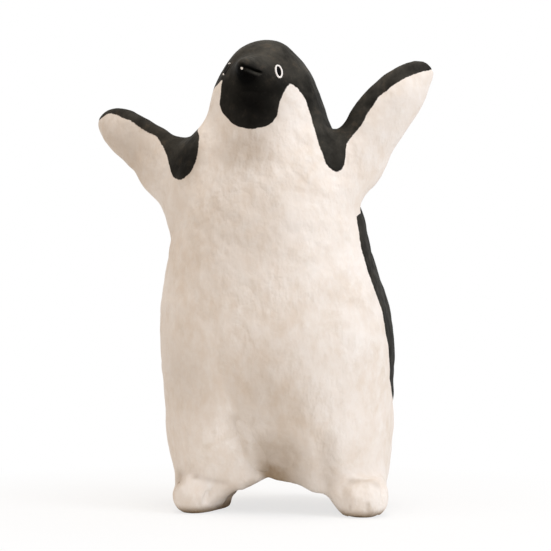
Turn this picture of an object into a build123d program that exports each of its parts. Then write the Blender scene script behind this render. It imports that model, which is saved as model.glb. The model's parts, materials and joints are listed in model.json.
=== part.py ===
from build123d import *
from math import atan2, copysign, cos, degrees, exp, pi, radians, sin
import os

# A papier-mache penguin that stands with its flippers raised. The hollow paper body is
# cast in two halves and joined along the sides. Pulp feet, flippers, tail and beak are
# pegged, wired or pinned on. Millimetres; +X is the figure's left, -Y its front, +Z up.

# Whole figure
figure_height = 200.0
body_width = 102.0
belly_depth = 43.0
back_depth = 39.0
forward_lean = 20.0
side_sway = 3.0
rim_height = 10.0
paper_wall = 3.0
glue_gap = 0.2

# Hollow between the thighs, and the arch in the rim below it
crotch_depth = 7.0
crotch_half_width = 13.0
arch_half_width = 20.0
arch_rise = 5.0

# Inner frame
lining_thickness = 0.8
lining_width = 16.0
board_thickness = 5.0
ballast_thickness = 14.0
spine_diameter = 10.0
spine_overlap = 12.0
wire_diameter = 2.5
wire_bend_radius = 6.0
wire_bend_inset = 9.0

# Feet and leg pegs
foot_length = 47.0
foot_width = 23.0
heel_setback = 6.0
left_foot_inset = 13.7
right_foot_inset = 22.0
left_toe_out_angle = 14.0
right_toe_out_angle = 9.0
toe_groove_diameter = 4.0
toe_groove_tilt_angle = 35.0
peg_diameter = 8.0
peg_depth = 9.0
peg_inset = 5.0
peg_setback = 8.0

# Flippers: the left one is raised higher and swept back less than the right one
flipper_length = 57.0
flipper_chord = 30.0
flipper_thickness = 15.0
flipper_twist_angle = 12.0
left_raise_angle = 55.0
left_sweep_angle = 18.0
left_shoulder_drop = 56.0
right_raise_angle = 33.0
right_sweep_angle = 24.0
right_shoulder_drop = 60.0

# Face
head_turn_angle = 7.0
face_drop = 15.5
beak_length = 16.0
beak_width = 13.0
beak_depth = 11.0
beak_sink = 7.0
beak_tilt_angle = 12.0
mouth_gap = 0.7
mouth_drop = 2.0
left_eye_angle = 34.0
right_eye_angle = 39.0
left_eye_drop = 15.0
right_eye_drop = 13.0
eye_ring_width = 3.6
eye_ring_height = 5.9
eye_ring_line = 0.8
eye_ring_relief = 0.4

# Tail
tail_height = 33.0
tail_length = 22.0
tail_width = 24.0
tail_thickness = 13.0
tail_sink = 8.0
tail_drop_angle = 28.0

# Pins of the beak and the tail
pin_diameter = 2.0
pin_length = 14.0

# Body sections, rim to crown: shares of height, half width, front depth, back depth, side
# sway and crotch depth, and the power of the outline, which is 1 on an ellipse
body_shares = (
    (0.000, 0.88, 0.79, 0.77, 0.0, 1.00, 0.82),
    (0.065, 0.935, 0.88, 0.88, 0.0, 0.85, 0.84),
    (0.180, 0.965, 0.96, 0.96, 0.1, 0.35, 0.88),
    (0.325, 0.99, 1.00, 1.00, 0.2, 0.00, 0.93),
    (0.420, 0.955, 0.98, 0.98, 0.5, 0.00, 0.95),
    (0.505, 0.88, 0.92, 0.92, 0.8, 0.00, 0.96),
    (0.590, 0.81, 0.83, 0.84, 1.0, 0.00, 0.97),
    (0.675, 0.74, 0.71, 0.75, 1.0, 0.00, 1.00),
    (0.740, 0.655, 0.60, 0.69, 1.0, 0.00, 1.00),
    (0.800, 0.565, 0.52, 0.64, 1.0, 0.00, 1.00),
    (0.855, 0.485, 0.51, 0.60, 1.0, 0.00, 1.00),
    (0.900, 0.425, 0.53, 0.565, 1.0, 0.00, 1.00),
    (0.935, 0.355, 0.47, 0.50, 1.0, 0.00, 1.00),
    (0.965, 0.27, 0.36, 0.38, 1.0, 0.00, 1.00),
    (0.987, 0.17, 0.22, 0.24, 1.0, 0.00, 1.00),
    (0.997, 0.08, 0.10, 0.11, 1.0, 0.00, 1.00),
)
body_points = 16
# Sections start away from the plane where the two halves part
section_start_angle = 45.0

# Flipper sections, shoulder to tip: shares of span, chord, thickness and shift along the chord
flipper_shares = (
    (-0.20, 1.28, 1.26, 0.10),
    (0.00, 1.06, 1.06, 0.08),
    (0.25, 0.86, 0.80, 0.09),
    (0.50, 0.72, 0.66, 0.09),
    (0.75, 0.57, 0.55, 0.065),
    (0.90, 0.44, 0.43, 0.01),
    (0.975, 0.28, 0.27, -0.03),
)
bore_share = 0.7

# Foot sections, sole upward: shares of height, length and width
foot_shares = (
    (0.00, 0.80, 0.60),
    (0.14, 0.90, 0.80),
    (0.36, 0.98, 0.96),
    (0.64, 0.98, 0.98),
    (1.00, 0.80, 0.82),
)
foot_points = 20
foot_power = 0.8
heel_share = 0.8
toe_shares = (-0.34, 0.34)

# Beak and tail sections, root to tip: shares of length, width and depth
beak_shares = ((0.00, 1.12, 1.12), (0.40, 1.00, 1.00), (0.72, 0.66, 0.68), (0.93, 0.32, 0.34))
mouth_corner_share = 0.55
tail_shares = ((0.00, 1.00, 1.00), (0.32, 0.92, 0.90), (0.70, 0.72, 0.62), (0.94, 0.45, 0.34))

lean_angle = degrees(atan2(forward_lean, figure_height))
board_underside = rim_height + arch_rise
board_top = board_underside + board_thickness
face_height = figure_height - face_drop
wire_radius = wire_diameter / 2
bore_radius = wire_radius + glue_gap
reach = figure_height + body_width
up = Vector(0, 0, 1)
bottom_centre = (Align.CENTER, Align.CENTER, Align.MIN)


def between(start, end, share):
    return start + (end - start) * share


def power(value, exponent):
    return copysign(abs(value) ** exponent, value)


def body_row(share):
    """Centre, half width, front depth, back depth, crotch depth and power at a share of height."""
    for low, high in zip(body_shares, body_shares[1:]):
        if share <= high[0]:
            break
    part = (share - low[0]) / (high[0] - low[0])
    _, wide, front, back, sway, crotch, bend = [between(a, b, part) for a, b in zip(low, high)]
    height = between(rim_height, figure_height, share)
    centre = Vector(-side_sway * sway, -forward_lean * height / figure_height, height)
    return centre, body_width / 2 * wide, belly_depth * front, back_depth * back, crotch_depth * crotch, bend


def body_row_at(height):
    return body_row((height - rim_height) / (figure_height - rim_height))


def body_section(share, outset):
    """One closed section of the body, grown by outset, or shrunk where that is negative."""
    centre, wide, front, back, crotch, bend = body_row(share)
    points = []
    for step in range(body_points):
        turn = radians(section_start_angle) + 2 * pi * step / body_points
        across = (wide + outset) * power(cos(turn), bend)
        along = power(sin(turn), bend)
        if along > 0:
            along *= back + outset
        else:
            along *= front + outset
            along += crotch * exp(-((across / crotch_half_width) ** 2))
        points.append(centre + Vector(across, along, outset * share))
    return make_face(Spline(*points, periodic=True))


def body_form(outset):
    """The whole body as one solid, from the rim to the crown, grown by outset."""
    sections = []
    for share, *_ in body_shares:
        _, wide, front, back, *_ = body_row(share)
        if min(wide, front, back) + outset > paper_wall / 2:
            sections.append(body_section(share, outset))
    crown = body_row(1)[0] + up * outset
    return loft(sections + [Vertex(*crown)])


def seam_side(side):
    """All space in front of the leaning seam plane (MAX) or behind it (MIN)."""
    return Rot(lean_angle, 0, 0) * Box(reach, reach, 2 * reach, align=(Align.CENTER, side, Align.CENTER))


def slab(bottom, top):
    return Pos(0, 0, bottom) * Box(reach, reach, top - bottom, align=bottom_centre)


def rod(start, end, radius):
    axis = end - start
    return Plane(origin=start, z_dir=axis) * Cylinder(radius, axis.length, align=bottom_centre)


def tapered(origin, axis, side, length, width, depth, shares):
    """A blunt cone: ellipses along an axis, closed at a point."""
    sections = []
    for along, wide, deep in shares:
        plane = Plane(origin=origin + axis * (length * along), x_dir=side, z_dir=axis)
        sections.append(plane * Ellipse(width / 2 * wide, depth / 2 * deep))
    return loft(sections + [Vertex(*(origin + axis * length))])


def flipper_frame(side, shoulder_drop, raise_angle, sweep_angle):
    """Shoulder point, span direction and chord direction of one flipper."""
    raised = radians(raise_angle)
    swept = radians(sweep_angle)
    span = Vector(side * cos(raised) * cos(swept), cos(raised) * sin(swept), sin(raised))
    centre, wide, *_ = body_row_at(figure_height - shoulder_drop)
    shoulder = centre + Vector(side * wide, 0, 0)
    chord = (up - span * up.dot(span)).normalized()
    return shoulder, span, chord.rotate(Axis((0, 0, 0), span), side * flipper_twist_angle)


def wire_form(frames, radius, end_gap):
    """A round bar from flipper to flipper, bent inside each shoulder."""
    corners = [shoulder - span * wire_bend_inset for shoulder, span, _ in frames]
    ends = [shoulder + span * (flipper_length * bore_share + end_gap) for shoulder, span, _ in frames]
    path = FilletPolyline(ends[0], *corners, ends[1], radius=wire_bend_radius)
    return sweep(Plane(origin=path @ 0, z_dir=path % 0) * Circle(radius), path)


def make_flipper(frame, body, wire_bore):
    """A tapering paddle, cut to the shoulder that it is seated on and bored for the wire."""
    shoulder, span, chord = frame
    sections = []
    for along, wide, thick, shift in flipper_shares:
        origin = shoulder + span * (flipper_length * along) + chord * (flipper_chord * shift)
        plane = Plane(origin=origin, x_dir=chord, z_dir=span)
        sections.append(plane * Ellipse(flipper_chord / 2 * wide, flipper_thickness / 2 * thick))
    form = loft(sections + [Vertex(*(shoulder + span * flipper_length))])
    return form - body - wire_bore


def foot_place(side):
    inset, turn = left_foot_inset, left_toe_out_angle
    if side < 0:
        inset, turn = right_foot_inset, right_toe_out_angle
    offset = side * (body_width / 2 - inset)
    return Pos(offset, heel_setback - foot_length / 2, 0) * Rot(0, 0, side * turn)


def make_foot(side, shell):
    """A rounded foot with three toes, cut to the rim that it is seated in, with its peg hole."""
    sections = []
    for high, long, wide in foot_shares:
        points = []
        for step in range(foot_points):
            turn = 2 * pi * step / foot_points
            taper = between(1, heel_share, (1 + sin(turn)) / 2)
            across = foot_width / 2 * wide * taper * power(cos(turn), foot_power)
            along = foot_length / 2 * long * power(sin(turn), foot_power)
            points.append((across, along, board_underside * high))
        sections.append(make_face(Spline(*points, periodic=True)))
    form = loft(sections)
    for share in toe_shares:
        front = Pos(foot_width * share, -foot_length / 2, 0) * Rot(-toe_groove_tilt_angle, 0, 0)
        form -= front * Cylinder(toe_groove_diameter / 2, foot_length)
    return foot_place(side) * form - leg_peg(side, glue_gap) - shell


def leg_peg(side, gap):
    """A dowel from inside the foot to the top of the board, grown by a gap for its hole."""
    bottom = board_underside - peg_depth - gap
    place = foot_place(side) * Pos(-side * peg_inset, peg_setback, 0)
    bar = Pos(0, 0, bottom) * Cylinder(peg_diameter / 2 + gap, board_top - bottom, align=bottom_centre)
    return place * bar


def face_frame(height):
    """Centre of the head at a height, the way it faces and its own left."""
    centre = body_row_at(height)[0]
    turn = radians(head_turn_angle)
    return centre, Vector(-sin(turn), -cos(turn), 0), Vector(cos(turn), -sin(turn), 0)


def beak_frame():
    """Root of the beak inside the face, its axis and its own left."""
    centre, facing, left = face_frame(face_height)
    tilt = radians(beak_tilt_angle)
    axis = facing * cos(tilt) + up * sin(tilt)
    return centre + facing * (body_row_at(face_height)[2] - beak_sink), axis, left


def make_beak(body):
    """A stub beak, cut to the face, with the slit of the mouth and its pin hole."""
    root, axis, left = beak_frame()
    form = tapered(root, axis, left, beak_length, beak_width, beak_depth, beak_shares)
    corner = root + axis * (beak_length * mouth_corner_share)
    slit = Plane(origin=corner, x_dir=left, z_dir=axis) * Pos(0, -mouth_drop, 0) * Box(
        2 * beak_width, mouth_gap, beak_length, align=bottom_centre
    )
    return form - body - slit - rod(*pin_ends(root, axis, beak_sink), pin_diameter / 2 + glue_gap)


def tail_frame():
    """Root of the tail inside the back, and its axis."""
    drop = radians(tail_drop_angle)
    centre, _, _, back, *_ = body_row_at(tail_height)
    return centre + Vector(0, back - tail_sink, 0), Vector(0, cos(drop), -sin(drop))


def make_tail(body):
    root, axis = tail_frame()
    form = tapered(root, axis, Vector(1, 0, 0), tail_length, tail_width, tail_thickness, tail_shares)
    return form - body - rod(*pin_ends(root, axis, tail_sink), pin_diameter / 2 + glue_gap)


def pin_ends(root, axis, sink):
    """A pin that lies half inside the body's wall and half in what it carries."""
    middle = root + axis * sink
    return middle - axis * (pin_length / 2), middle + axis * (pin_length / 2)


def make_eye_ring(side, eye_drop, eye_angle, body, relief):
    """A raised ring of thick paint that follows the side of the head."""
    centre, facing, _ = face_frame(figure_height - eye_drop)
    outward = facing.rotate(Axis((0, 0, 0), up), side * eye_angle)
    plane = Plane(origin=centre, x_dir=up.cross(outward), z_dir=outward)
    ring = Ellipse(eye_ring_width / 2, eye_ring_height / 2)
    ring -= Ellipse(eye_ring_width / 2 - eye_ring_line, eye_ring_height / 2 - eye_ring_line)
    return (extrude(plane * ring, body_width) & relief) - body


def spine_rod(frames, radius):
    """A bar from the underside of the board, through the middle of the wire and past it."""
    corners = [shoulder - span * wire_bend_inset for shoulder, span, _ in frames]
    foot = body_row_at(board_underside)[0]
    crossing = (corners[0] + corners[1]) / 2
    axis = (crossing - foot).normalized()
    bar = rod(foot - axis * spine_diameter, crossing + axis * spine_overlap, radius)
    return bar & slab(board_underside, reach)


def make_shell(body, wire_bore):
    """The paper body before it is cut in halves: wall, arch between the legs, wire and pin holes."""
    arch_radius = (arch_half_width**2 + arch_rise**2) / (2 * arch_rise)
    arch = Pos(0, 0, board_underside - arch_radius) * Rot(90, 0, 0) * Cylinder(arch_radius, reach)
    shell = body - body_form(-paper_wall) - arch - wire_bore
    beak_root, beak_axis, _ = beak_frame()
    for root, axis, sink in ((beak_root, beak_axis, beak_sink), (*tail_frame(), tail_sink)):
        shell -= rod(*pin_ends(root, axis, sink), pin_diameter / 2 + glue_gap)
    return shell


def make_pieces():
    frames = (
        flipper_frame(1, left_shoulder_drop, left_raise_angle, left_sweep_angle),
        flipper_frame(-1, right_shoulder_drop, right_raise_angle, right_sweep_angle),
    )
    wire_bore = wire_form(frames, bore_radius, glue_gap)
    body = body_form(0)
    shell = make_shell(body, wire_bore)
    seam_band = Rot(lean_angle, 0, 0) * Box(reach, lining_width, 2 * reach)
    seam_band &= slab(board_top + glue_gap, reach)
    lining_outset = -paper_wall - glue_gap
    board_form = body_form(lining_outset)
    lining = (seam_band & board_form) - body_form(lining_outset - lining_thickness)
    spine_hole = spine_rod(frames, spine_diameter / 2 + glue_gap)
    board = (slab(board_underside, board_top) & board_form) - spine_hole
    ballast_form = body_form(lining_outset - lining_thickness - glue_gap)
    ballast = slab(board_top, board_top + ballast_thickness) & ballast_form
    tail_pin_hole = rod(*pin_ends(*tail_frame(), tail_sink), pin_diameter / 2 + glue_gap)
    relief = body_form(eye_ring_relief)
    pieces = {
        "front_shell": shell & seam_side(Align.MAX),
        "back_shell": shell & seam_side(Align.MIN),
        "seam_lining": lining - wire_bore,
        "spine_dowel": spine_rod(frames, spine_diameter / 2) - wire_bore,
        "flipper_wire": wire_form(frames, wire_radius, 0),
        "ballast": ballast - spine_hole - tail_pin_hole,
        "tail": make_tail(body),
        "tail_pin": rod(*pin_ends(*tail_frame(), tail_sink), pin_diameter / 2),
        "beak": make_beak(body),
        "beak_pin": rod(*pin_ends(*beak_frame()[:2], beak_sink), pin_diameter / 2),
    }
    sides = (
        ("left", 1, frames[0], left_eye_drop, left_eye_angle),
        ("right", -1, frames[1], right_eye_drop, right_eye_angle),
    )
    for name, side, frame, eye_drop, eye_angle in sides:
        board -= leg_peg(side, glue_gap)
        pieces[name + "_flipper"] = make_flipper(frame, body, wire_bore)
        pieces[name + "_foot"] = make_foot(side, shell)
        pieces[name + "_leg_peg"] = leg_peg(side, 0)
        pieces[name + "_eye_ring"] = make_eye_ring(side, eye_drop, eye_angle, body, relief)
    pieces["base_board"] = board
    return pieces


def main():
    """Write every piece with the middle of the figure's outer box on the Z axis."""
    pieces = make_pieces()
    box = Compound(list(pieces.values())).bounding_box()
    to_axis = Pos(-box.center().X, -box.center().Y, 0)
    os.makedirs("parts", exist_ok=True)
    for name, piece in pieces.items():
        export_step(to_axis * piece, f"parts/{name}.step")


main()
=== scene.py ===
import json
import math

import bmesh
import bpy
import numpy as np
import openvdb
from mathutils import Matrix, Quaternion, Vector, noise
from mathutils.bvhtree import BVHTree


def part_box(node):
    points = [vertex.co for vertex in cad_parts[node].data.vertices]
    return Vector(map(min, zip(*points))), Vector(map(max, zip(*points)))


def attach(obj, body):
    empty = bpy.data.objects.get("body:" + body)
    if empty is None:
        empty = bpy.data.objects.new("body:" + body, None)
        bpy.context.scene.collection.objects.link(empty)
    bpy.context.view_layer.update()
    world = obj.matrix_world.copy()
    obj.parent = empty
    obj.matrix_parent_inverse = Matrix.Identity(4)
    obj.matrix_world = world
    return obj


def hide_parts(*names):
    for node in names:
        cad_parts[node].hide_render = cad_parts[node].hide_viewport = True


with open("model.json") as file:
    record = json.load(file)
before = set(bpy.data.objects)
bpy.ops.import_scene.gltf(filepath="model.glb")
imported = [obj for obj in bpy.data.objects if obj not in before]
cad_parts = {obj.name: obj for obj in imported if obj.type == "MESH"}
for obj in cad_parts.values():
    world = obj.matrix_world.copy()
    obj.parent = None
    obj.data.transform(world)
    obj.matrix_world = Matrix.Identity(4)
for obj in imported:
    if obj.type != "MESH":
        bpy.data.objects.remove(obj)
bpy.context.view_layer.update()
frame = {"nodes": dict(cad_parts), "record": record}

# Lengths below are in millimetres, in the row's frame. MM turns them into Blender's metres.
MM = 0.001

# Grid on which the CAD pieces are blended into one skin, how far each blend reaches, and smoothing
VOXEL = 0.8
BAND = 22.0
MARGIN = 8.0
BLENDS = {
    "left_flipper": 4.5,
    "right_flipper": 19.0,
    "left_foot": 8.0,
    "right_foot": 9.0,
    "tail": 7.0,
    "beak": 4.0,
}
RELAX_ROUNDS = 4
RELAX_SHARE = 0.5

# Chin and left ankle, which are smoothed further: place and reach
SOFT_SPOTS = (((13.0, -36.0, 175.0), 9.0), ((44.5, -30.5, 12.5), 6.0))
SOFT_ROUNDS = 120

# Wall of the paper shells, its most as a share of the depth there, and how far in the probe of that starts
PAPER_WALL = 2.6
WALL_SHARE = 0.45
WALL_PROBE = 0.05

# CAD nodes whose filled outside makes each part of the skin
PARTS = {
    "body": ("front_shell", "back_shell", "base_board", "left_leg_peg", "right_leg_peg", "spine_dowel"),
    "left_flipper": ("left_flipper", "flipper_wire"),
    "right_flipper": ("right_flipper", "flipper_wire"),
    "left_foot": ("left_foot", "left_leg_peg"),
    "right_foot": ("right_foot", "right_leg_peg"),
    "tail": ("tail", "tail_pin"),
    "beak": ("beak",),
}
SHELLS = ("front_shell", "back_shell")

# Hand-made lumps: wavelength and height, and their share on the small forms of the face
LUMPS = ((30.0, 0.8), (13.0, 0.6), (6.0, 0.28), (3.2, 0.08))
FACE_LUMP_SHARE = 0.35
FACE_REACH = 16.0

# Points lower than this keep their height, so that the soles stay flat
SOLE_HEIGHT = 1.2

# Marks of the maker's thumb: place, reach and depth, where a bulge has a negative depth
PRESSES = (
    ((-17.3, -34.1, 27.1), 2.4, 0.7),
    ((-2.0, -26.0, 11.5), 8.0, -3.6),
    ((8.0, -26.0, 14.0), 8.0, -0.9),
    ((-5.5, -27.0, 9.5), 5.5, -0.9),
    ((-46.0, -10.0, 138.0), 9.0, -2.2),
    ((-51.0, -9.0, 143.0), 8.0, -1.4),
    ((-24.0, -15.0, 160.0), 12.0, 1.4),
    ((-29.5, -14.0, 159.5), 7.0, 1.4),
    ((-34.0, -16.0, 118.0), 12.0, 1.1),
    ((37.5, -13.0, 163.0), 7.0, 1.3),
    ((49.0, -12.0, 177.0), 9.0, -1.2),
    ((63.0, -9.0, 160.0), 10.0, 1.2),
    ((57.0, -10.0, 147.0), 9.0, 0.8),
    ((50.0, -8.0, 131.0), 9.0, 2.8),
    ((49.5, -11.0, 117.0), 12.0, 0.9),
    ((39.5, -28.0, 9.0), 6.0, -1.4),
    ((42.0, -29.5, 11.0), 4.5, -1.2),
    ((44.0, -30.0, 4.0), 7.0, -1.0),
    ((51.0, -36.0, 3.0), 9.0, -1.2),
    ((58.5, -24.0, 6.0), 8.0, -1.0),
    ((-15.0, -35.0, 28.0), 11.0, -3.6),
    ((46.0, -28.0, 36.0), 15.0, -1.4),
)

# Creases in the paper: two ends, reach and depth
CREASES = (
    ((-20.0, -33.5, 15.2), (-7.5, -30.5, 13.2), 1.5, 0.6),
    ((-9.0, -14.0, 1.0), (-8.0, 7.0, 1.0), 3.5, 4.0),
    ((-8.0, -13.0, 6.3), (-7.2, -3.0, 6.3), 3.2, 1.7),
    ((-30.0, -22.0, 14.5), (-28.5, -34.0, 14.5), 3.2, 1.8),
    ((46.0, -31.5, 14.8), (56.0, -31.0, 13.2), 2.2, 0.2),
    ((53.4, -36.0, 6.0), (53.6, -33.0, 0.0), 1.1, 0.7),
    ((46.0, -37.0, 5.0), (46.0, -34.0, 0.0), 1.0, 0.4),
    ((-17.0, -37.0, 6.0), (-17.0, -34.0, 0.0), 1.1, 0.5),
    ((-0.9, -39.8, 40.3), (6.2, -29.8, 19.2), 4.0, 0.8),
    ((7.5, -29.5, 19.0), (10.0, -24.0, 12.0), 3.0, 1.3),
    ((35.5, -34.0, 32.0), (35.5, -29.0, 16.0), 5.0, 0.9),
)

# Flippers, as the part has them: side, raise and sweep angles, then twist and length
FLIPPERS = {"left_flipper": (1, 55.0, 18.0), "right_flipper": (-1, 33.0, 24.0)}
FLIPPER_TWIST = 12.0
FLIPPER_LENGTH = 57.0

# Sway of the body's axis to the figure's right: height and sway
SWAY_STEPS = ((22.0, 0.0), (72.0, 0.6), (122.0, 3.0))

# Beak, as the part has it: turn to the figure's right and upward tilt
FACE_TURN = 7.0
BEAK_TILT = 12.0

# Slit of the mouth on the beak's left side: drop below the tip, length, fades, reach and depth
MOUTH_DROP = 2.4
MOUTH_LENGTH = 9.2
MOUTH_FADE = 2.0
MOUTH_SIDE_FADE = 1.0
MOUTH_REACH = 0.6
MOUTH_DEPTH = 1.3

# Finer mesh of the beak, and small white spots in its black: place and radius
BEAK_SPLITS = 2
BEAK_RELAX_ROUNDS = 2
WHITE_SPOTS = (((2.2, -43.6, 185.2), 0.5), ((3.9, -41.9, 183.6), 0.05))

# Eye rings: half width and half height of the painted line, its width and relief, and its lean to the beak
EYE_HALF_WIDTH = 1.3
EYE_HALF_HEIGHT = 2.65
EYE_LINE = 0.8
EYE_RELIEF = 0.4
EYE_LEAN = 5.0
EYE_STEPS = 48
EYE_SIDES = 10
EYE_PROBE = 6.0
PUPIL_RELIEF = 0.16
PUPIL_RINGS = 4

# The right ring's sides are painted black as painted shade: how far round from its top and bottom
SHADED_EYE = "right_eye_ring"
RING_SHADE_TURNS = (0.2, 0.6)

# Camera, read off the photograph: azimuth, distance, aim and field of view
CAMERA_AZIMUTH = 12.0
CAMERA_DISTANCE = 850.0
CAMERA_AIM_RIGHT = 7.0
CAMERA_AIM_HEIGHT = 100.0
CAMERA_LENS = 127.9
CAMERA_SENSOR = 36.0


# Frame of the body

def to_mm(corner):
    return np.array(corner, float) / MM


FRONT_LOW, FRONT_HIGH = (to_mm(corner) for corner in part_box("front_shell"))
BACK_LOW, BACK_HIGH = (to_mm(corner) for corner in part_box("back_shell"))
AXIS_X = sum(to_mm(corner)[0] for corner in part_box("base_board")) / 2
LEAN = (FRONT_HIGH[1] - BACK_LOW[1]) / (BACK_HIGH[2] - FRONT_LOW[2])
BOARD_UNDERSIDE = to_mm(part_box("base_board")[0])[2]


def seam_y(height):
    """Where the leaning plane between the two shells is at a height."""
    return FRONT_HIGH[1] - LEAN * (height - FRONT_LOW[2])


def axis_x(height):
    heights, sways = np.array(SWAY_STEPS).T
    return AXIS_X - np.interp(height, heights, sways)


def around(points):
    """Angle about the body's axis in degrees, 0 in front and positive to the figure's left, and radius."""
    across = points[:, 0] - axis_x(points[:, 2])
    ahead = seam_y(points[:, 2]) - points[:, 1]
    return np.degrees(np.arctan2(across, ahead)), np.hypot(across, ahead)


def node_soup(names):
    """Corners in millimetres and triangles of several CAD nodes as one set."""
    corners = []
    triangles = []
    count = 0
    for name in names:
        mesh = frame["nodes"][name].data
        mesh.calc_loop_triangles()
        places = np.empty(len(mesh.vertices) * 3, np.float32)
        mesh.vertices.foreach_get("co", places)
        indices = np.empty(len(mesh.loop_triangles) * 3, np.int32)
        mesh.loop_triangles.foreach_get("vertices", indices)
        corners.append(places.reshape(-1, 3) / MM)
        triangles.append(indices.reshape(-1, 3) + count)
        count += len(mesh.vertices)
    return np.concatenate(corners), np.concatenate(triangles).astype(np.uint32)


def hull_soup(names):
    """Corners and triangles of the hull around CAD nodes, which closes any slit in them."""
    corners, _ = node_soup(names)
    form = bmesh.new()
    for corner in corners.tolist():
        form.verts.new(corner)
    bmesh.ops.convex_hull(form, input=form.verts, use_existing_faces=False)
    form.verts.index_update()
    triangles = [[vertex.index for vertex in face.verts] for face in form.faces]
    places = np.array([vertex.co for vertex in form.verts], np.float32)
    form.free()
    return places, np.array(triangles, np.uint32)


def flipper_axes(part):
    """Shoulder, span, chord and backward direction of one flipper."""
    side, raise_angle, sweep_angle = FLIPPERS[part]
    raised = math.radians(raise_angle)
    swept = math.radians(sweep_angle)
    level = math.cos(raised)
    span = Vector((side * level * math.cos(swept), level * math.sin(swept), math.sin(raised)))
    up = Vector((0, 0, 1))
    chord = (up - span * up.dot(span)).normalized()
    chord.rotate(Quaternion(span, math.radians(side * FLIPPER_TWIST)))
    backward = chord.cross(span)
    backward *= math.copysign(1, backward.y)
    corners, _ = node_soup((part,))
    tip = corners[np.argmax(corners @ np.array(span))]
    return tip - np.array(span) * FLIPPER_LENGTH, np.array(span), np.array(chord), np.array(backward)


def beak_axes():
    """Tip, axis and upward direction of the beak."""
    turn = math.radians(FACE_TURN)
    tilt = math.radians(BEAK_TILT)
    left = Vector((math.cos(turn), -math.sin(turn), 0))
    axis = Vector((-math.sin(turn) * math.cos(tilt), -math.cos(turn) * math.cos(tilt), math.sin(tilt)))
    corners, _ = node_soup(("beak",))
    tip = corners[np.argmax(corners @ np.array(axis))]
    return tip, np.array(axis), np.array(axis.cross(left))


# Skin

NODE_BOXES = np.array([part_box(name) for name in frame["nodes"]]) / MM
GRID_LOW = np.floor((NODE_BOXES[:, 0].min(0) - MARGIN) / VOXEL).astype(int)
GRID_HIGH = np.ceil((NODE_BOXES[:, 1].max(0) + MARGIN) / VOXEL).astype(int)
GRID_SHAPE = tuple(GRID_HIGH - GRID_LOW)
GRID_START = tuple(int(i) for i in GRID_LOW)
GRID_STEPS = openvdb.createLinearTransform(voxelSize=VOXEL)


def soup_field(corners, triangles):
    """Distance to the filled outside of a set of triangles at each grid point, negative inside."""
    grid = openvdb.FloatGrid.createLevelSetFromPolygons(
        corners, triangles=triangles, transform=GRID_STEPS, halfWidth=BAND / VOXEL
    )
    values = np.empty(GRID_SHAPE, np.float32)
    grid.copyToArray(values, ijk=GRID_START)
    return values


def smooth_union(first, second, reach):
    """The lesser of two fields or depths, rounded where they are within reach of each other."""
    near = np.maximum(reach - np.abs(first - second), 0) / reach
    return np.minimum(first, second) - near * near * reach / 4


def sample(field, points):
    """Trilinear value of a grid field at points in millimetres."""
    place = points / VOXEL - GRID_LOW
    base = np.clip(np.floor(place).astype(int), 0, np.array(GRID_SHAPE) - 2)
    part = place - base
    total = np.zeros(len(points))
    for corner in np.ndindex(2, 2, 2):
        weight = np.prod(np.where(corner, part, 1 - part), axis=1)
        i, j, k = (base + corner).T
        total += weight * field[i, j, k]
    return total


def vertex_normals(points, quads):
    across = points[quads[:, 2]] - points[quads[:, 0]]
    along = points[quads[:, 3]] - points[quads[:, 1]]
    face = np.cross(across, along)
    total = np.zeros_like(points)
    for corner in range(4):
        np.add.at(total, quads[:, corner], face)
    return total / np.linalg.norm(total, axis=1, keepdims=True)


def relax(points, quads, rounds, free=1.0):
    """Move each free vertex towards the mean of its neighbours."""
    start = quads.ravel()
    end = np.roll(quads, -1, axis=1).ravel()
    size = len(points)
    count = np.bincount(start, minlength=size) + np.bincount(end, minlength=size)
    weight = np.broadcast_to(free, size)[:, None] * RELAX_SHARE
    for _ in range(rounds):
        total = np.empty_like(points)
        for axis in range(3):
            total[:, axis] = np.bincount(start, points[end, axis], size)
            total[:, axis] += np.bincount(end, points[start, axis], size)
        points = points + weight * (total / count[:, None] - points)
    return points


def waves(points, wavelength):
    """Smooth noise between about -1 and 1 at each point."""
    return np.array([noise.noise(Vector(p), noise_basis="PERLIN_NEW") for p in points / wavelength])


def smooth_step(value, low, high):
    share = np.clip((value - low) / (high - low), 0, 1)
    return share * share * (3 - 2 * share)


def press_share(points, place, reach):
    """Share of a round mark at each point, 1 at its middle."""
    away = points - np.array(place)
    return np.exp(-np.sum(away * away, axis=1) / reach ** 2)


def crease_share(points, start, end, reach):
    """Share of a straight mark at each point, 1 along its line."""
    start = np.array(start)
    along = np.array(end) - start
    share = np.clip((points - start) @ along / (along @ along), 0, 1)
    away = points - start - share[:, None] * along
    return np.exp(-np.sum(away * away, axis=1) / reach ** 2)


def make_fields():
    """Distance field of each part of the skin."""
    fields = {part: soup_field(*node_soup(names)) for part, names in PARTS.items() if part != "beak"}
    fields["beak"] = soup_field(*hull_soup(PARTS["beak"]))
    return fields


def make_skin(fields):
    """Points, faces and normals of one skin over all the outer CAD pieces."""
    whole = fields["body"]
    for part, reach in BLENDS.items():
        whole = smooth_union(whole, fields[part], reach)
    grid = openvdb.FloatGrid()
    grid.copyFromArray(whole, ijk=GRID_START)
    grid.transform = GRID_STEPS
    points, quads = grid.convertToQuads(isovalue=0)
    quads = quads[:, ::-1].astype(int)
    points = relax(points.astype(float), quads, RELAX_ROUNDS)
    soft = np.max([press_share(points, place, reach) for place, reach in SOFT_SPOTS], axis=0)
    points = relax(points, quads, SOFT_ROUNDS, soft)
    normals = vertex_normals(points, quads)
    if np.sum(normals * (points - points.mean(0))) < 0:
        quads = quads[:, ::-1]
        normals = -normals
    return points, quads, normals


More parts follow.
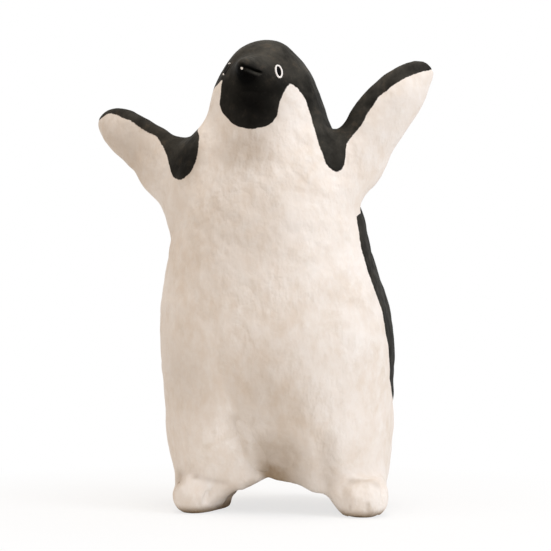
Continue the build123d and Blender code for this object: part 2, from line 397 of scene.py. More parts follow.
def displace(points, normals, fields):
    """Hand-made lumps, thumb marks and creases, with the soles kept flat."""
    near_face = smooth_step(FACE_REACH - sample(fields["beak"], points), 0, FACE_REACH)
    calm = 1 - (1 - FACE_LUMP_SHARE) * near_face
    height = calm * sum(size * waves(points, length) for length, size in LUMPS)
    for place, reach, depth in PRESSES:
        height -= depth * press_share(points, place, reach)
    for start, end, reach, depth in CREASES:
        height -= depth * crease_share(points, start, end, reach)
    moved = points + normals * height[:, None]
    moved[:, 2] = np.where(points[:, 2] < SOLE_HEIGHT, points[:, 2], moved[:, 2])
    moved[:, 2] = np.maximum(moved[:, 2], 0)
    return moved


# Paint: distance in millimetres inside the black coat, negative on the white ground

# Edge of the black back at the figure's sides: height and angle from the front, further back on the right
SIDE_EDGE = (
    (14.0, 172.0),
    (22.0, 158.0),
    (30.0, 134.0),
    (40.0, 108.0),
    (50.0, 88.0),
    (57.0, 82.3),
    (65.0, 80.0),
    (74.0, 78.7),
    (84.0, 79.0),
    (88.0, 77.2),
    (92.0, 75.3),
    (103.0, 74.2),
    (114.0, 74.6),
    (118.0, 75.2),
    (122.0, 78.0),
    (127.0, 82.0),
    (140.0, 86.0),
    (160.0, 86.0),
)
RIGHT_SIDE_BACK = 10.0

# Front edge of the black band from the cheek to the shoulder on either side: height and angle
LEFT_BAND = (
    (142.8, 62.5),
    (146.0, 60.3),
    (150.0, 59.6),
    (158.0, 58.9),
    (165.0, 59.5),
    (168.5, 59.0),
    (172.0, 57.5),
    (175.0, 54.5),
    (177.0, 49.5),
    (178.7, 45.0),
    (182.0, 40.0),
)
RIGHT_BAND = (
    (140.2, -58.0),
    (143.4, -54.6),
    (146.7, -53.2),
    (150.1, -53.5),
    (152.7, -54.8),
    (156.1, -57.9),
    (158.8, -61.3),
    (160.6, -65.0),
    (162.5, -74.0),
    (166.0, -86.0),
    (178.0, -86.0),
    (181.0, -50.0),
    (182.0, -46.0),
)

# Edges of the black bib under the beak, from its lowest point up to the cheeks: height and angle
BIB_LEFT = (
    (161.0, -5.0),
    (161.3, 4.0),
    (161.8, 9.5),
    (162.7, 14.5),
    (164.0, 18.6),
    (166.1, 22.6),
    (169.4, 24.4),
    (172.7, 26.8),
    (176.0, 31.4),
    (179.4, 36.2),
    (182.0, 40.0),
)
BIB_RIGHT = (
    (161.0, -6.5),
    (161.3, -14.5),
    (162.2, -20.5),
    (163.5, -26.0),
    (165.6, -31.8),
    (167.0, -36.0),
    (168.4, -40.2),
    (171.8, -44.8),
    (182.0, -45.3),
)
CROWN_HEIGHT = 182.0

# Lower edge of the black stripe on each flipper's front: share of the length, place on the chord
STRIPES = {
    "left_flipper": (
        (-0.1, 9.0),
        (0.0, 9.9),
        (0.09, 11.2),
        (0.2, 11.2),
        (0.3, 10.2),
        (0.45, 10.8),
        (0.57, 10.5),
        (0.63, 9.6),
        (0.7, 8.4),
        (0.78, 6.6),
        (0.87, 3.5),
        (0.95, -1.1),
        (1.0, -4.0),
    ),
    "right_flipper": (
        (-0.15, 9.5),
        (-0.02, 7.6),
        (0.03, 7.9),
        (0.13, 10.0),
        (0.21, 11.3),
        (0.33, 12.7),
        (0.42, 11.8),
        (0.64, 10.5),
        (0.79, 8.6),
        (0.89, 5.9),
        (0.94, 2.3),
        (1.0, -3.0),
    ),
}

# How far the corners of the painted edges are rounded, and how many samples of an edge that takes
BAND_ROUNDING = 5.0
EDGE_ROUNDING = 1.6
APEX_ROUNDING = 6.0
BIB_ROUNDING = 0.4
STRIPE_ROUNDING = 0.03
ROUNDING_SAMPLES = 5

# Black behind this depth of a flipper, width where flipper and body paint meet, and depth of full black
FLIPPER_BACK = 2.0
FLIPPER_BLEND = 5.0
BLACK_MARGIN = 4.0

# Stains and painted shade on the white ground: round patches as place, reach and share
SOIL_AND_SHADE_PATCHES = (
    # Painted shade on the lower belly where it turns downward
    ((-24.0, -34.0, 58.0), 16.0, 0.2),
    # Stain and painted shadow of the head under the bib
    ((3.0, -35.0, 152.0), 12.0, 0.52),
    # Stain on the middle of the belly
    ((6.0, -40.0, 122.0), 26.0, 0.25),
    # Darker tone at the root of the right flipper
    ((-56.0, -6.0, 156.0), 20.0, 0.34),
    # Painted shade on the root of the left flipper, where the key lamp falls strongest
    ((60.0, -10.0, 162.0), 20.0, 0.13),
    # Painted shade along the underside of the web between the legs
    ((2.0, -26.5, 11.0), 5.0, 0.5),
    ((-4.5, -27.5, 8.5), 4.5, 0.45),
)

# Throat and right shoulder, where the black coat is kept dark and free of dust as painted shade: place,
# reach and share
BLACK_SHADE_PATCHES = (
    ((6.0, -36.0, 171.0), 9.0, 1.0),
    ((-25.5, -28.5, 149.0), 8.0, 0.8),
)

# Painted shade between the legs, which ends along the inner edge of the right thigh, given by its two ends
CROTCH_SHADE_PATCHES = (
    ((10.0, -27.0, 12.5), 15.0, 1.1),
    ((20.0, -27.0, 11.5), 9.0, 0.6),
    ((13.0, -33.0, 22.0), 16.0, 0.66),
    ((11.0, -42.0, 46.0), 26.0, 0.3),
)
THIGH_EDGE = ((-0.9, 40.3), (6.2, 19.2))
THIGH_FADE = 2.5

# Darkening of the edge above the soles, up to a height, and painted shade in the creases
SOLE_DARKENING_HEIGHT = 4.5
CREASE_SHADE = 0.35


def rounded(places, edge, reach):
    """Value of a hand-drawn edge at each place, with its corners rounded off."""
    knots, values = np.array(edge).T
    steps = np.linspace(-reach, reach, ROUNDING_SAMPLES)
    return np.mean([np.interp(places + step, knots, values) for step in steps], axis=0)


def edge_distance(angle, height, radius, edge):
    """Distance past an edge that is given as angles at heights."""
    return np.radians(angle - rounded(height, edge, EDGE_ROUNDING)) * radius


def band_paint(angle, height, radius, edge, side):
    """A band behind its front edge, with a rounded lower end."""
    behind = side * edge_distance(angle, height, radius, edge)
    above = height - edge[0][0]
    return smooth_union(behind, above, BAND_ROUNDING)


def body_paint(points):
    """Black back, bands, bib and crown of the body."""
    angle, radius = around(points)
    height = points[:, 2]
    turned = np.where(angle > 0, angle, -angle - RIGHT_SIDE_BACK)
    back = edge_distance(turned, height, radius, SIDE_EDGE)
    left_band = band_paint(angle, height, radius, LEFT_BAND, 1)
    right_band = band_paint(angle, height, radius, RIGHT_BAND, -1)
    to_left = np.radians(rounded(height, BIB_LEFT, BIB_ROUNDING) - angle) * radius
    to_right = np.radians(angle - rounded(height, BIB_RIGHT, BIB_ROUNDING)) * radius
    bib = np.min([to_left, to_right, height - BIB_LEFT[0][0]], axis=0)
    face = np.maximum(bib, height - CROWN_HEIGHT)
    hood = -smooth_union(-left_band, -face, APEX_ROUNDING)
    return np.max([back, right_band, hood], axis=0)


def flipper_paint(points, part):
    """Black stripe and back of a flipper."""
    shoulder, span, chord, backward = flipper_axes(part)
    away = points - shoulder
    stripe = away @ chord - rounded(away @ span / FLIPPER_LENGTH, STRIPES[part], STRIPE_ROUNDING)
    return np.maximum(stripe, away @ backward - FLIPPER_BACK)


def black_coat_depth(points, fields):
    """The black coat over body, flippers, tail and beak."""
    coat = body_paint(points)
    body = sample(fields["body"], points)
    for part in FLIPPERS:
        own_side = points[:, 0] * FLIPPERS[part][0] > 0
        share = own_side * smooth_step(body - sample(fields[part], points), -FLIPPER_BLEND, FLIPPER_BLEND)
        coat = coat + share * (flipper_paint(points, part) - coat)
    tail = BLACK_MARGIN - sample(fields["tail"], points)
    beak = BLACK_MARGIN - sample(fields["beak"], points)
    return np.max([coat, tail, beak], axis=0)


def soil_share(points):
    """How far the white ground is stained, darkened towards the soles and given painted shade, and the
    black coat given painted shade.
    """
    (top_x, top_z), (low_x, low_z) = THIGH_EDGE
    across = (points[:, 0] - top_x) * (top_z - low_z) + (points[:, 2] - top_z) * (low_x - top_x)
    inner = smooth_step(across / math.hypot(top_z - low_z, low_x - top_x), -THIGH_FADE, THIGH_FADE)
    # Darker towards the soles
    soil = 1 - smooth_step(points[:, 2], 0, SOLE_DARKENING_HEIGHT)
    # Painted shade between the legs, cut off along the right thigh's inner edge
    for place, reach, share in CROTCH_SHADE_PATCHES:
        soil = np.maximum(soil, share * inner * press_share(points, place, reach))
    # Stains and painted shade in round patches
    for place, reach, share in SOIL_AND_SHADE_PATCHES + BLACK_SHADE_PATCHES:
        soil = np.maximum(soil, share * press_share(points, place, reach))
    # Painted shade in the creases
    for start, end, reach, _ in CREASES:
        soil = np.maximum(soil, CREASE_SHADE * crease_share(points, start, end, reach))
    return soil


# Pieces of the skin

def face_labels(points, quads, fields):
    """The CAD node that each face of the skin stands for."""
    middles = points[quads].mean(1)
    names = list(PARTS)
    distances = np.array([sample(fields[name], middles) for name in names])
    labels = np.array(names, dtype=object)[np.argmin(distances, axis=0)]
    body = labels == "body"
    ahead = middles[:, 1] < seam_y(middles[:, 2])
    labels[body & ahead] = "front_shell"
    labels[body & ~ahead] = "back_shell"
    board = np.abs(sample(soup_field(*node_soup(("base_board",))), middles))
    shells = [soup_field(*node_soup((name,))) for name in SHELLS]
    wall = np.abs(sample(np.minimum(*shells), middles))
    labels[body & (board < wall) & (middles[:, 2] < BOARD_UNDERSIDE + VOXEL)] = "base_board"
    return labels


def patch(quads):
    """Vertices that some faces use, the faces in those vertices, and their open edges."""
    used, local = np.unique(quads, return_inverse=True)
    local = local.reshape(quads.shape)
    start = local.ravel()
    end = np.roll(local, -1, axis=1).ravel()
    size = len(used)
    open_edge = ~np.isin(start * size + end, end * size + start)
    return used, local, start[open_edge], end[open_edge]


def split_faces(points, quads):
    """Every four-sided face split into four."""
    edges = np.sort(np.stack([quads, np.roll(quads, -1, axis=1)], axis=2), axis=2).reshape(-1, 2)
    unique, index = np.unique(edges, axis=0, return_inverse=True)
    middle = index.reshape(-1, 4) + len(points)
    centre = np.arange(len(quads)) + len(points) + len(unique)
    corners = [np.stack([quads[:, i], middle[:, i], centre, middle[:, i - 1]], axis=1) for i in range(4)]
    return np.concatenate([points, points[unique].mean(1), points[quads].mean(1)]), np.concatenate(corners)


def wall_depth(points, normals, quads):
    """Depth of the paper wall at each point of the skin, thinner near the rim."""
    tree = BVHTree.FromPolygons(points.tolist(), quads.tolist())
    depth = np.full(len(points), PAPER_WALL)
    for i in np.nonzero(points[:, 2] < BOARD_UNDERSIDE + PAPER_WALL)[0]:
        inward = Vector(-normals[i])
        start = Vector(points[i]) + inward * WALL_PROBE
        hit = tree.ray_cast(start, inward, PAPER_WALL / WALL_SHARE)
        if hit[3] is not None:
            depth[i] = min(PAPER_WALL, hit[3] * WALL_SHARE)
    return depth


def thicken(points, normals, quads, depth):
    """A closed wall below some faces of the skin, as points, faces and the outer points' numbers."""
    used, outer, start, end = patch(quads)
    size = len(used)
    inner = points[used] - normals[used] * depth[used, None]
    rim = np.stack([end, start, start + size, end + size], axis=1)
    faces = np.concatenate([outer, outer[:, ::-1] + size, rim])
    return np.concatenate([points[used], inner]), faces.tolist(), used


def cap(points, quads):
    """Some faces of the skin, closed by a fan across their open side."""
    used, outer, start, end = patch(quads)
    middle = points[used[start]].mean(0)
    fan = [(b, a, len(used)) for a, b in zip(start.tolist(), end.tolist())]
    return np.concatenate([points[used], middle[None]]), outer.tolist() + fan, used


def refine_beak(points, normals, quads):
    """The beak's faces split and smoothed, with the slit of the mouth pressed in, and their normals."""
    used, quads, _, _ = patch(quads)
    points = points[used]
    skin_normals = normals[used]
    for _ in range(BEAK_SPLITS):
        skin_normals, _ = split_faces(skin_normals, quads)
        points, quads = split_faces(points, quads)
        _, _, start, _ = patch(quads)
        free = np.ones(len(points))
        free[start] = 0
        points = relax(points, quads, BEAK_RELAX_ROUNDS, free)
    tip, axis, rise = beak_axes()
    away = points - tip
    fade = 1 - smooth_step(-(away @ axis), MOUTH_LENGTH - MOUTH_FADE, MOUTH_LENGTH)
    fade *= smooth_step(away @ np.cross(rise, axis), -MOUTH_SIDE_FADE, MOUTH_SIDE_FADE)
    slit = np.exp(-((away @ rise + MOUTH_DROP) / MOUTH_REACH) ** 2) * fade * free
    points = points - vertex_normals(points, quads) * (MOUTH_DEPTH * slit)[:, None]
    normals = vertex_normals(points, quads)
    normals[start] = skin_normals[start] / np.linalg.norm(skin_normals[start], axis=1, keepdims=True)
    return points, normals, quads


def add_piece(name, points, faces, node, material):
    """A smooth mesh object, given in millimetres, that takes the place of a CAD node if one is named."""
    mesh = bpy.data.meshes.new(name)
    mesh.from_pydata((np.asarray(points) * MM).tolist(), [], faces)
    mesh.polygons.foreach_set("use_smooth", [True] * len(mesh.polygons))
    mesh.update()
    mesh.materials.append(material)
    piece = bpy.data.objects.new(name, mesh)
    bpy.context.scene.collection.objects.link(piece)
    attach(piece, "root")
    if node:
        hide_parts(node)
    return piece


def dress(piece, normals, **layers):
    """Give a piece the skin's normals on its first points, and values such as paint, repeated as needed."""
    mesh = piece.data
    size = len(mesh.vertices)
    own = np.empty(size * 3, np.float32)
    mesh.vertices.foreach_get("normal", own)
    own = own.reshape(-1, 3)
    own[: len(normals)] = normals
    mesh.normals_split_custom_set_from_vertices(own.tolist())
    for name, values in layers.items():
        layer = mesh.attributes.new(name, "FLOAT", "POINT")
        layer.data.foreach_set("value", np.resize(values, size).astype(np.float32))


# Eyes

def eye_frame(node, tree):
    """Centre of an eye on the skin, the way it faces, and its own side and upward directions."""
    centre = Vector(sum(to_mm(corner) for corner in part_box(node)) / 2)
    place, out, _, _ = tree.find_nearest(centre)
    side = Vector((0, 0, 1)).cross(out).normalized()
    lean = math.radians(EYE_LEAN if "left" in node else -EYE_LEAN)
    side.rotate(Quaternion(out, lean))
    return place, out, side, out.cross(side)


def eye_spot(eye, tree, turn, share):
    """Point of the skin at a turn round an eye and a share of the way out to its ring."""
    centre, out, side, rise = eye
    flat = side * (EYE_HALF_WIDTH * math.cos(turn)) + rise * (EYE_HALF_HEIGHT * math.sin(turn))
    return tree.ray_cast(centre + flat * share + out * EYE_PROBE, -out)[0]


def loop_faces(rings, sides, closed):
    """Faces between neighbouring rings of points."""
    faces = []
    for i in range(rings if closed else rings - 1):
        for j in range(sides):
            a, b = i * sides, (i + 1) % rings * sides
            k = (j + 1) % sides
            faces.append((a + j, b + j, b + k, a + k))
    return faces


def make_eye(node, tree, paint, black):
    """A raised line of paint round a black pupil, both lying on the skin."""
    eye = eye_frame(node, tree)
    out = eye[1]
    turns = [2 * math.pi * step / EYE_STEPS for step in range(EYE_STEPS)]
    line = [eye_spot(eye, tree, turn, 1) for turn in turns]
    points = []
    for i, place in enumerate(line):
        along = (line[(i + 1) % EYE_STEPS] - line[i - 1]).normalized()
        across = along.cross(out).normalized()
        for j in range(EYE_SIDES):
            turn = 2 * math.pi * j / EYE_SIDES
            wide = across * (EYE_LINE / 2 * math.cos(turn))
            points.append(place + wide + out * (EYE_RELIEF * math.sin(turn)))
    faces = loop_faces(EYE_STEPS, EYE_SIDES, True)
    ring = add_piece(node + "_line", points, faces, node, paint)
    level = np.abs(np.cos(np.repeat(turns, EYE_SIDES)))
    # The right ring's sides painted black as painted shade
    wear = smooth_step(level, *RING_SHADE_TURNS) if node == SHADED_EYE else np.zeros_like(level)
    dress(ring, np.empty((0, 3)), wear=wear)
    rings = [(share + 1) / PUPIL_RINGS for share in range(PUPIL_RINGS)]
    top = [eye_spot(eye, tree, turn, share) + out * PUPIL_RELIEF for share in rings for turn in turns]
    bottom = [eye_spot(eye, tree, turn, 1) - out * EYE_RELIEF for turn in turns]
    points = top + bottom + [eye_spot(eye, tree, 0, 0) + out * PUPIL_RELIEF, eye[0] - out * EYE_RELIEF]
    faces = loop_faces(PUPIL_RINGS + 1, EYE_STEPS, False)
    crown = len(points) - 2
    last = PUPIL_RINGS * EYE_STEPS
    for j in range(EYE_STEPS):
        k = (j + 1) % EYE_STEPS
        faces.append((j, k, crown))
        faces.append((last + k, last + j, crown + 1))
    add_piece(node.replace("ring", "pupil"), points, faces, None, black)


# Materials

def add(tree, kind, settings=None, **inputs):
    """Add a shader node, whose inputs are named with _ for a space or numbered as n0 and n1."""
    node = tree.nodes.new("ShaderNode" + kind)
    for name, value in (settings or {}).items():
        setattr(node, name, value)
    for name, value in inputs.items():
        key = int(name[1:]) if name[1:].isdigit() else name.replace("_", " ")
        socket = node.inputs[key]
        if isinstance(value, bpy.types.NodeSocket):
            tree.links.new(value, socket)
        else:
            socket.default_value = value
    return node


def new_material(name):
    """A material, its tree, its main shader and the object's own coordinates."""
    material = bpy.data.materials.new(name)
    material.use_nodes = True
    tree = material.node_tree
    places = add(tree, "TexCoord").outputs["Object"]
    return material, tree, tree.nodes["Principled BSDF"], places


def cloud(tree, places, size, detail, roughness):
    """Noise whose features are about size millimetres across."""
    node = add(tree, "TexNoise", Vector=places, Scale=1 / (size * MM), Detail=detail, Roughness=roughness)
    return node.outputs["Fac"]


def stretched(tree, places, stretch):
    """Coordinates that draw a pattern out along an axis by the inverse of stretch."""
    node = add(tree, "VectorMath", {"operation": "MULTIPLY"}, n0=places, n1=stretch)
    return node.outputs["Vector"]


def sum_of(tree, first, second, factor=1.0):
    """first + second * factor."""
    node = add(tree, "Math", {"operation": "MULTIPLY_ADD"}, n0=second, n1=factor, n2=first)
    return node.outputs["Value"]


def product(tree, first, second):
    return add(tree, "Math", {"operation": "MULTIPLY"}, n0=first, n1=second).outputs["Value"]


def spread(tree, value, low, high, to_low=0.0, to_high=1.0):
    """A value between low and high, spread over another range and held at its ends."""
    node = add(tree, "MapRange", Value=value, n1=low, n2=high, n3=to_low, n4=to_high)
    return node.outputs["Result"]


def blend_colours(tree, share, first, second):
    node = add(tree, "Mix", {"data_type": "RGBA"}, n0=share, n6=first, n7=second)
    return node.outputs[2]


def bump(tree, shader, height, depth, strength):
    """Bump a shader by a height whose 1 is depth millimetres."""
    node = add(tree, "Bump", Strength=strength, Distance=depth * MM, Height=height)
    tree.links.new(node.outputs["Normal"], shader.inputs["Normal"])


def mottling(tree, places, size, detail, roughness, low, high, to_low, to_high):
    """Noise read between two values and spread over a range."""
    return spread(tree, cloud(tree, places, size, detail, roughness), low, high, to_low, to_high)


# Patterns: size, detail and roughness of the noise, the values it is read between, and the range they make
GROUND_TONES = (24.0, 4.0, 0.55, 0.36, 0.66, 0.0, 1.0)
BRUSHED_TONES = (4.5, 4.0, 0.6, 0.38, 0.72, 0.0, 0.65)
WORN_TONES = (9.0, 5.0, 0.65, 0.55, 0.73, 0.0, 0.4)
SOIL_AND_SHADE_TONES = (6.0, 4.0, 0.6, 0.3, 0.68, 0.75, 1.0)
DUST_AND_TOP_LIGHT_TONES = (10.0, 5.0, 0.65, 0.34, 0.66, 0.35, 1.0)
SCUFF_TONES = (5.0, 5.0, 0.7, 0.56, 0.72, 0.0, 0.6)
EDGE_WOBBLE = (7.0, 3.0, 0.55, 0.0, 1.0, -0.55, 0.55)
EDGE_TEETH = (1.2, 2.0, 0.55, 0.0, 1.0, -0.35, 0.35)
STROKE_PATCHES = (22.0, 3.0, 0.55, 0.42, 0.62, 0.35, 1.0)

# Colours of the white ground and of its stains and painted shade, and of the black coat and of the dust and
# painted top light on it
GROUND_DARK = (0.78, 0.70, 0.615, 1)
GROUND_LIGHT = (0.86, 0.81, 0.755, 1)
BRUSHED_WHITE = (0.895, 0.865, 0.825, 1)
WORN_TAN = (0.66, 0.57, 0.465, 1)
SOIL_AND_SHADE_BROWN = (0.22, 0.135, 0.05, 1)
COAT_BLACK = (0.0022, 0.0021, 0.0019, 1)
DUST_AND_TOP_LIGHT_GREY = (0.070, 0.066, 0.056, 1)
SCUFF_BROWN = (0.090, 0.066, 0.045, 1)

# Dust and painted top light lie on what faces up, between these heights of the normal, and thinly where
# painted shade is
DUST_AND_TOP_LIGHT_FACING = (-0.5, 0.75)
SHADED_DUST = 0.1

# Softness of the coat's edge, and gloss and roughness of ground and coat
EDGE_SOFTNESS = 0.14
GROUND_GLOSS = 0.2
PAINT_GLOSS = 0.02
GROUND_ROUGHNESS = 0.8
PAINT_ROUGHNESS = 0.56

# Relief: strokes and grain as size, detail and roughness, shares of grain and coat in it, and depth
BRUSH_STRETCH = (1.0, 1.0, 0.65)
STROKES = (4.2, 2.5, 0.5)
GRAIN = (0.9, 3.0, 0.6)
GRAIN_RELIEF = 0.045
COAT_RELIEF = 0.08
PAINT_RELIEF = 1.4
PAINT_BUMP = 0.9

# Thick paint of the eye rings: tones, grain, how the grain breaks up the painted shade, roughness and
# relief
EYE_DARK = (0.84, 0.82, 0.79, 1)
EYE_LIGHT = (0.94, 0.93, 0.91, 1)
EYE_GRAIN = (0.9, 5.0, 0.6)
SHADE_BREAK = 0.4
SHADE_RANGE = (0.3, 0.6)
EYE_ROUGHNESS = 0.6
EYE_GRAIN_RELIEF = 0.08

# Grain of plain stuffs: detail and roughness of the noise, the values read for tone and sheen, and bump
PLAIN_GRAIN = (5.0, 0.6)
TONE_RANGE = (0.35, 0.68)
SHEEN_RANGE = (0.3, 0.7)
PLAIN_BUMP = 0.5

# Plain stuffs: two tones, size of the grain, roughness and relief, with any stretch, metal and gloss
PLAIN_STUFFS = {
    "pupil": {
        "tones": ((0.003, 0.003, 0.003, 1), (0.008, 0.007, 0.007, 1)),
        "size": 1.2,
        "roughness": (0.35, 0.5),
        "relief": 0.05,
        "gloss": PAINT_GLOSS,
    },
    "bare_paper": {
        "tones": ((0.50, 0.42, 0.32, 1), (0.70, 0.62, 0.50, 1)),
        "size": 4.0,
        "roughness": (0.8, 0.95),
        "relief": 0.25,
    },
    "bare_wood": {
        "tones": ((0.40, 0.25, 0.13, 1), (0.66, 0.48, 0.29, 1)),
        "size": 2.2,
        "roughness": (0.6, 0.8),
        "relief": 0.15,
        "stretch": (0.12, 1, 1),
    },
    "steel_wire": {
        "tones": ((0.30, 0.30, 0.29, 1), (0.56, 0.55, 0.53, 1)),
        "size": 0.8,
        "roughness": (0.3, 0.5),
        "relief": 0.03,
        "stretch": (0.05, 1, 1),
        "metal": 1.0,
    },
    "plaster": {
        "tones": ((0.66, 0.63, 0.58, 1), (0.82, 0.80, 0.76, 1)),
        "size": 5.0,
        "roughness": (0.85, 0.95),
        "relief": 0.2,
    },
}


def mesh_value(tree, name):
    """A value that the mesh holds at its points."""
    return add(tree, "Attribute", {"attribute_name": name}).outputs["Fac"]


def white_ground(tree, places):
    """Off-white gesso, mottled and brushed, with tan stains, darkening towards the soles and painted shade
    where the mesh attribute says.
    """
    colour = blend_colours(tree, mottling(tree, places, *GROUND_TONES), GROUND_DARK, GROUND_LIGHT)
    brushed = mottling(tree, stretched(tree, places, BRUSH_STRETCH), *BRUSHED_TONES)
    colour = blend_colours(tree, brushed, colour, BRUSHED_WHITE)
    colour = blend_colours(tree, mottling(tree, places, *WORN_TONES), colour, WORN_TAN)
    # Tan stains, darkening towards the soles and painted shade
    soil = product(tree, mesh_value(tree, "soil"), mottling(tree, places, *SOIL_AND_SHADE_TONES))
    return blend_colours(tree, soil, colour, SOIL_AND_SHADE_BROWN)


def black_coat(tree, places):
    """Matt black paint, with patchy dust and painted top light on what faces up, small brown scuffs within
    them, thinned where the mesh attribute gives painted shade.
    """
    facing = add(tree, "SeparateXYZ", Vector=add(tree, "NewGeometry").outputs["Normal"]).outputs["Z"]
    # Dust and painted top light on what faces up, thinned by painted shade
    dust_and_top_light = product(tree, spread(tree, facing, *DUST_AND_TOP_LIGHT_FACING), mottling(tree, places, *DUST_AND_TOP_LIGHT_TONES))
    dust_and_top_light = product(tree, dust_and_top_light, spread(tree, mesh_value(tree, "soil"), 0, 1, 1, SHADED_DUST))
    colour = blend_colours(tree, dust_and_top_light, COAT_BLACK, DUST_AND_TOP_LIGHT_GREY)
    scuffs = product(tree, mottling(tree, places, *SCUFF_TONES), dust_and_top_light)
    return blend_colours(tree, scuffs, colour, SCUFF_BROWN)


def painted_material(name):
    """White ground under a black coat that ends where the paint attribute passes zero."""
    material, tree, shader, places = new_material(name)
    edge = sum_of(tree, mesh_value(tree, "paint"), mottling(tree, places, *EDGE_WOBBLE))
    edge = sum_of(tree, edge, mottling(tree, places, *EDGE_TEETH))
    coat = spread(tree, edge, -EDGE_SOFTNESS, EDGE_SOFTNESS)
    colour = blend_colours(tree, coat, white_ground(tree, places), black_coat(tree, places))
    roughness = spread(tree, coat, 0, 1, GROUND_ROUGHNESS, PAINT_ROUGHNESS)
    gloss = spread(tree, coat, 0, 1, GROUND_GLOSS, PAINT_GLOSS)
    tree.links.new(colour, shader.inputs["Base Color"])
    tree.links.new(roughness, shader.inputs["Roughness"])
    tree.links.new(gloss, shader.inputs["Specular IOR Level"])
    strokes = cloud(tree, stretched(tree, places, BRUSH_STRETCH), *STROKES)
    strokes = product(tree, strokes, mottling(tree, places, *STROKE_PATCHES))
    height = sum_of(tree, strokes, cloud(tree, places, *GRAIN), GRAIN_RELIEF)
    bump(tree, shader, sum_of(tree, height, coat, COAT_RELIEF), PAINT_RELIEF, PAINT_BUMP)
    return material


def shaded_ring_paint(name):
    """Thick white paint, with the black coat painted in as shade where the mesh attribute says."""
    material, tree, shader, places = new_material(name)
    grain = cloud(tree, places, *EYE_GRAIN)
    white = blend_colours(tree, spread(tree, grain, *TONE_RANGE), EYE_DARK, EYE_LIGHT)
    wear = sum_of(tree, mesh_value(tree, "wear"), spread(tree, grain, 0, 1, -SHADE_BREAK, SHADE_BREAK))
    shaded = spread(tree, wear, *SHADE_RANGE)
    tree.links.new(blend_colours(tree, shaded, white, black_coat(tree, places)), shader.inputs["Base Color"])
    shader.inputs["Roughness"].default_value = EYE_ROUGHNESS
    shader.inputs["Specular IOR Level"].default_value = PAINT_GLOSS
    bump(tree, shader, grain, EYE_GRAIN_RELIEF, PLAIN_BUMP)
    return material


def plain_stuff(name, tones, size, roughness, relief, stretch=(1, 1, 1), metal=0.0, gloss=0.5):
    """A stuff in two tones, drawn out along its grain, with a bump of the same pattern."""
    material, tree, shader, places = new_material(name)
    grain = cloud(tree, stretched(tree, places, stretch), size, *PLAIN_GRAIN)
    colour = blend_colours(tree, spread(tree, grain, *TONE_RANGE), *tones)
    tree.links.new(colour, shader.inputs["Base Color"])
    tree.links.new(spread(tree, grain, *SHEEN_RANGE, *roughness), shader.inputs["Roughness"])
    shader.inputs["Metallic"].default_value = metal
    shader.inputs["Specular IOR Level"].default_value = gloss
    bump(tree, shader, grain, relief, PLAIN_BUMP)
    return material


def make_materials():
    """The finish of each of the record's slots, and of the pupils."""
    painted = painted_material("painted_paper")
    finishes = {slot: painted for slot in ("painted_paper", "black_paper", "white_paper")}
    finishes["eye_paint"] = shaded_ring_paint("eye_paint")
    for name, stuff in PLAIN_STUFFS.items():
        finishes[name] = plain_stuff(name, **stuff)
    return finishes


# Stage

# Floor: half its side, its colour and roughness, and its glow from the first to the second distance off
FLOOR_HALF_SIDE = 3000.0
FLOOR_COLOUR = (0.86, 0.86, 0.85, 1)
FLOOR_ROUGHNESS = 0.9
FLOOR_FADE = (40.0, 200.0)
FLOOR_GLOW = (0.72, 1.0)

# Lamps: name, place, size, power in watts and colour, turned to one target, and light from all round
LAMPS = (
    ("key", (680, -280, 520), 400, 3.0, (0.76, 0.86, 1.0)),
    ("top", (0, -100, 900), 400, 2.7, (1, 0.96, 0.92)),
)
LAMP_TARGET = (0, 0, 110)
WORLD_COLOUR = (1, 0.87, 0.77, 1)
WORLD_STRENGTH = 0.66
WHITE = (1, 1, 1, 1)


def aim(thing, place, target):
    """Put an object at a place and turn its -Z axis towards a target, both in millimetres."""
    thing.location = Vector(place) * MM
    thing.rotation_euler = (Vector(target) - Vector(place)).to_track_quat("-Z", "Y").to_euler()
    bpy.context.scene.collection.objects.link(thing)


def make_camera():
    """The photograph's camera, level with the middle of the figure."""
    turn = math.radians(CAMERA_AZIMUTH)
    right = Vector((math.cos(turn), math.sin(turn), 0))
    back = Vector((math.sin(turn), -math.cos(turn), 0))
    target = right * CAMERA_AIM_RIGHT + Vector((0, 0, CAMERA_AIM_HEIGHT))
    camera = bpy.data.objects.new("camera", bpy.data.cameras.new("camera"))
    camera.data.lens = CAMERA_LENS
    camera.data.sensor_width = CAMERA_SENSOR
    aim(camera, target + back * CAMERA_DISTANCE, target)
    bpy.context.scene.camera = camera


def make_lamps():
    for name, place, size, power, colour in LAMPS:
        lamp = bpy.data.lights.new(name, "AREA")
        lamp.shape = "DISK"
        lamp.size = size * MM
        lamp.energy = power
        lamp.color = colour
        aim(bpy.data.objects.new(name, lamp), place, LAMP_TARGET)


def seen_directly(tree):
    """1 for what the camera, a reflection or clear matter shows, 0 for light that falls on things."""
    path = add(tree, "LightPath")
    either = path.outputs["Is Camera Ray"]
    for name in ("Is Glossy Ray", "Is Transmission Ray"):
        larger = add(tree, "Math", {"operation": "MAXIMUM"}, n0=either, n1=path.outputs[name])
        either = larger.outputs["Value"]
    return either


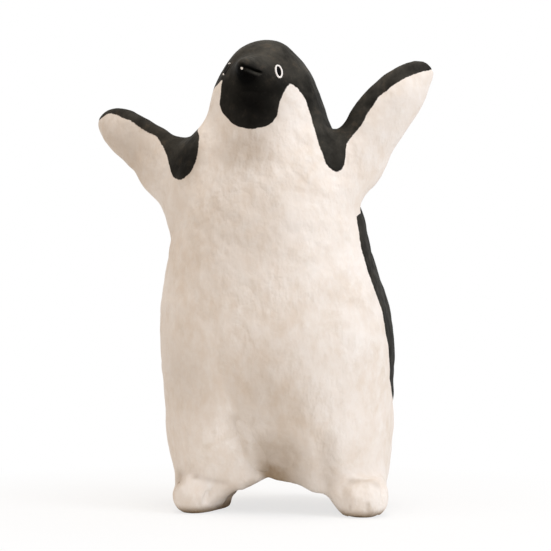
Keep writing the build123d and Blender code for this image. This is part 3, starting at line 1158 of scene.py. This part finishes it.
def make_floor():
    """A pale floor that keeps the object's shadow and goes to plain white further off."""
    half = FLOOR_HALF_SIDE * MM
    mesh = bpy.data.meshes.new("floor")
    corners = [(-half, -half, 0), (half, -half, 0), (half, half, 0), (-half, half, 0)]
    mesh.from_pydata(corners, [], [(0, 1, 2, 3)])
    floor = bpy.data.objects.new("floor", mesh)
    bpy.context.scene.collection.objects.link(floor)
    material, tree, shader, places = new_material("floor")
    shader.inputs["Base Color"].default_value = FLOOR_COLOUR
    shader.inputs["Roughness"].default_value = FLOOR_ROUGHNESS
    reach = add(tree, "VectorMath", {"operation": "LENGTH"}, n0=places).outputs["Value"]
    near, far = FLOOR_FADE
    glow_share = product(tree, spread(tree, reach, near * MM, far * MM, *FLOOR_GLOW), seen_directly(tree))
    glow = add(tree, "Emission", Color=WHITE, Strength=1.0)
    mix = add(tree, "MixShader", n0=glow_share, n1=shader.outputs["BSDF"], n2=glow.outputs["Emission"])
    tree.links.new(mix.outputs["Shader"], tree.nodes["Material Output"].inputs["Surface"])
    mesh.materials.append(material)


def make_world():
    """Soft light from all round, and white where the camera sees past the floor."""
    world = bpy.data.worlds.new("world")
    bpy.context.scene.world = world
    world.use_nodes = True
    tree = world.node_tree
    back = tree.nodes["Background"]
    seen = seen_directly(tree)
    tree.links.new(blend_colours(tree, seen, WORLD_COLOUR, WHITE), back.inputs["Color"])
    tree.links.new(spread(tree, seen, 0, 1, WORLD_STRENGTH, 1.0), back.inputs["Strength"])


# Whole figure

SLOTS = {row["node"]: row["material_slot"] for row in frame["record"]["subparts"]}
SKINNED = SHELLS + ("left_flipper", "right_flipper", "tail", "beak", "left_foot", "right_foot")
EYES = ("left_eye_ring", "right_eye_ring")


def make_beak(points, normals, quads, material):
    """The beak, black but for small white spots."""
    points, normals, quads = refine_beak(points, normals, quads)
    closed, faces, _ = cap(points, quads)
    white_spots = [np.linalg.norm(points - np.array(place), axis=1) - radius for place, radius in WHITE_SPOTS]
    coat = np.minimum(np.min(white_spots, axis=0), BLACK_MARGIN)
    piece = add_piece("beak_skin", closed, faces, "beak", material)
    dress(piece, normals, paint=np.append(coat, BLACK_MARGIN), soil=[0.0])


def make_figure(materials):
    """One skin over the outer pieces, cut into a piece for each of them, and the eyes on it."""
    fields = make_fields()
    points, quads, normals = make_skin(fields)
    labels = face_labels(points, quads, fields)
    coat = black_coat_depth(points, fields)
    points = displace(points, normals, fields)
    # Stains, darkening towards the soles and painted shade on the skin
    soil = soil_share(points)
    normals = vertex_normals(points, quads)
    depth = wall_depth(points, normals, quads)
    for node in SKINNED:
        chosen = quads[labels == node]
        material = materials[SLOTS[node]]
        if node == "beak":
            make_beak(points, normals, chosen, material)
            continue
        if node in SHELLS:
            closed, faces, used = thicken(points, normals, chosen, depth)
        else:
            closed, faces, used = cap(points, chosen)
        piece = add_piece(node + "_skin", closed, faces, node, material)
        dress(piece, normals[used], paint=coat[used], soil=soil[used])
    tree = BVHTree.FromPolygons(points.tolist(), quads.tolist())
    for node in EYES:
        make_eye(node, tree, materials["eye_paint"], materials["pupil"])


def finish_inner_pieces(materials):
    """Give every CAD node that stays its procedural material."""
    for name, slot in SLOTS.items():
        if name not in SKINNED + EYES:
            mesh = frame["nodes"][name].data
            mesh.materials.clear()
            mesh.materials.append(materials[slot])


finishes = make_materials()
make_figure(finishes)
finish_inner_pieces(finishes)
make_camera()
make_lamps()
make_floor()
make_world()
bpy.context.scene.view_settings.view_transform = "Standard"
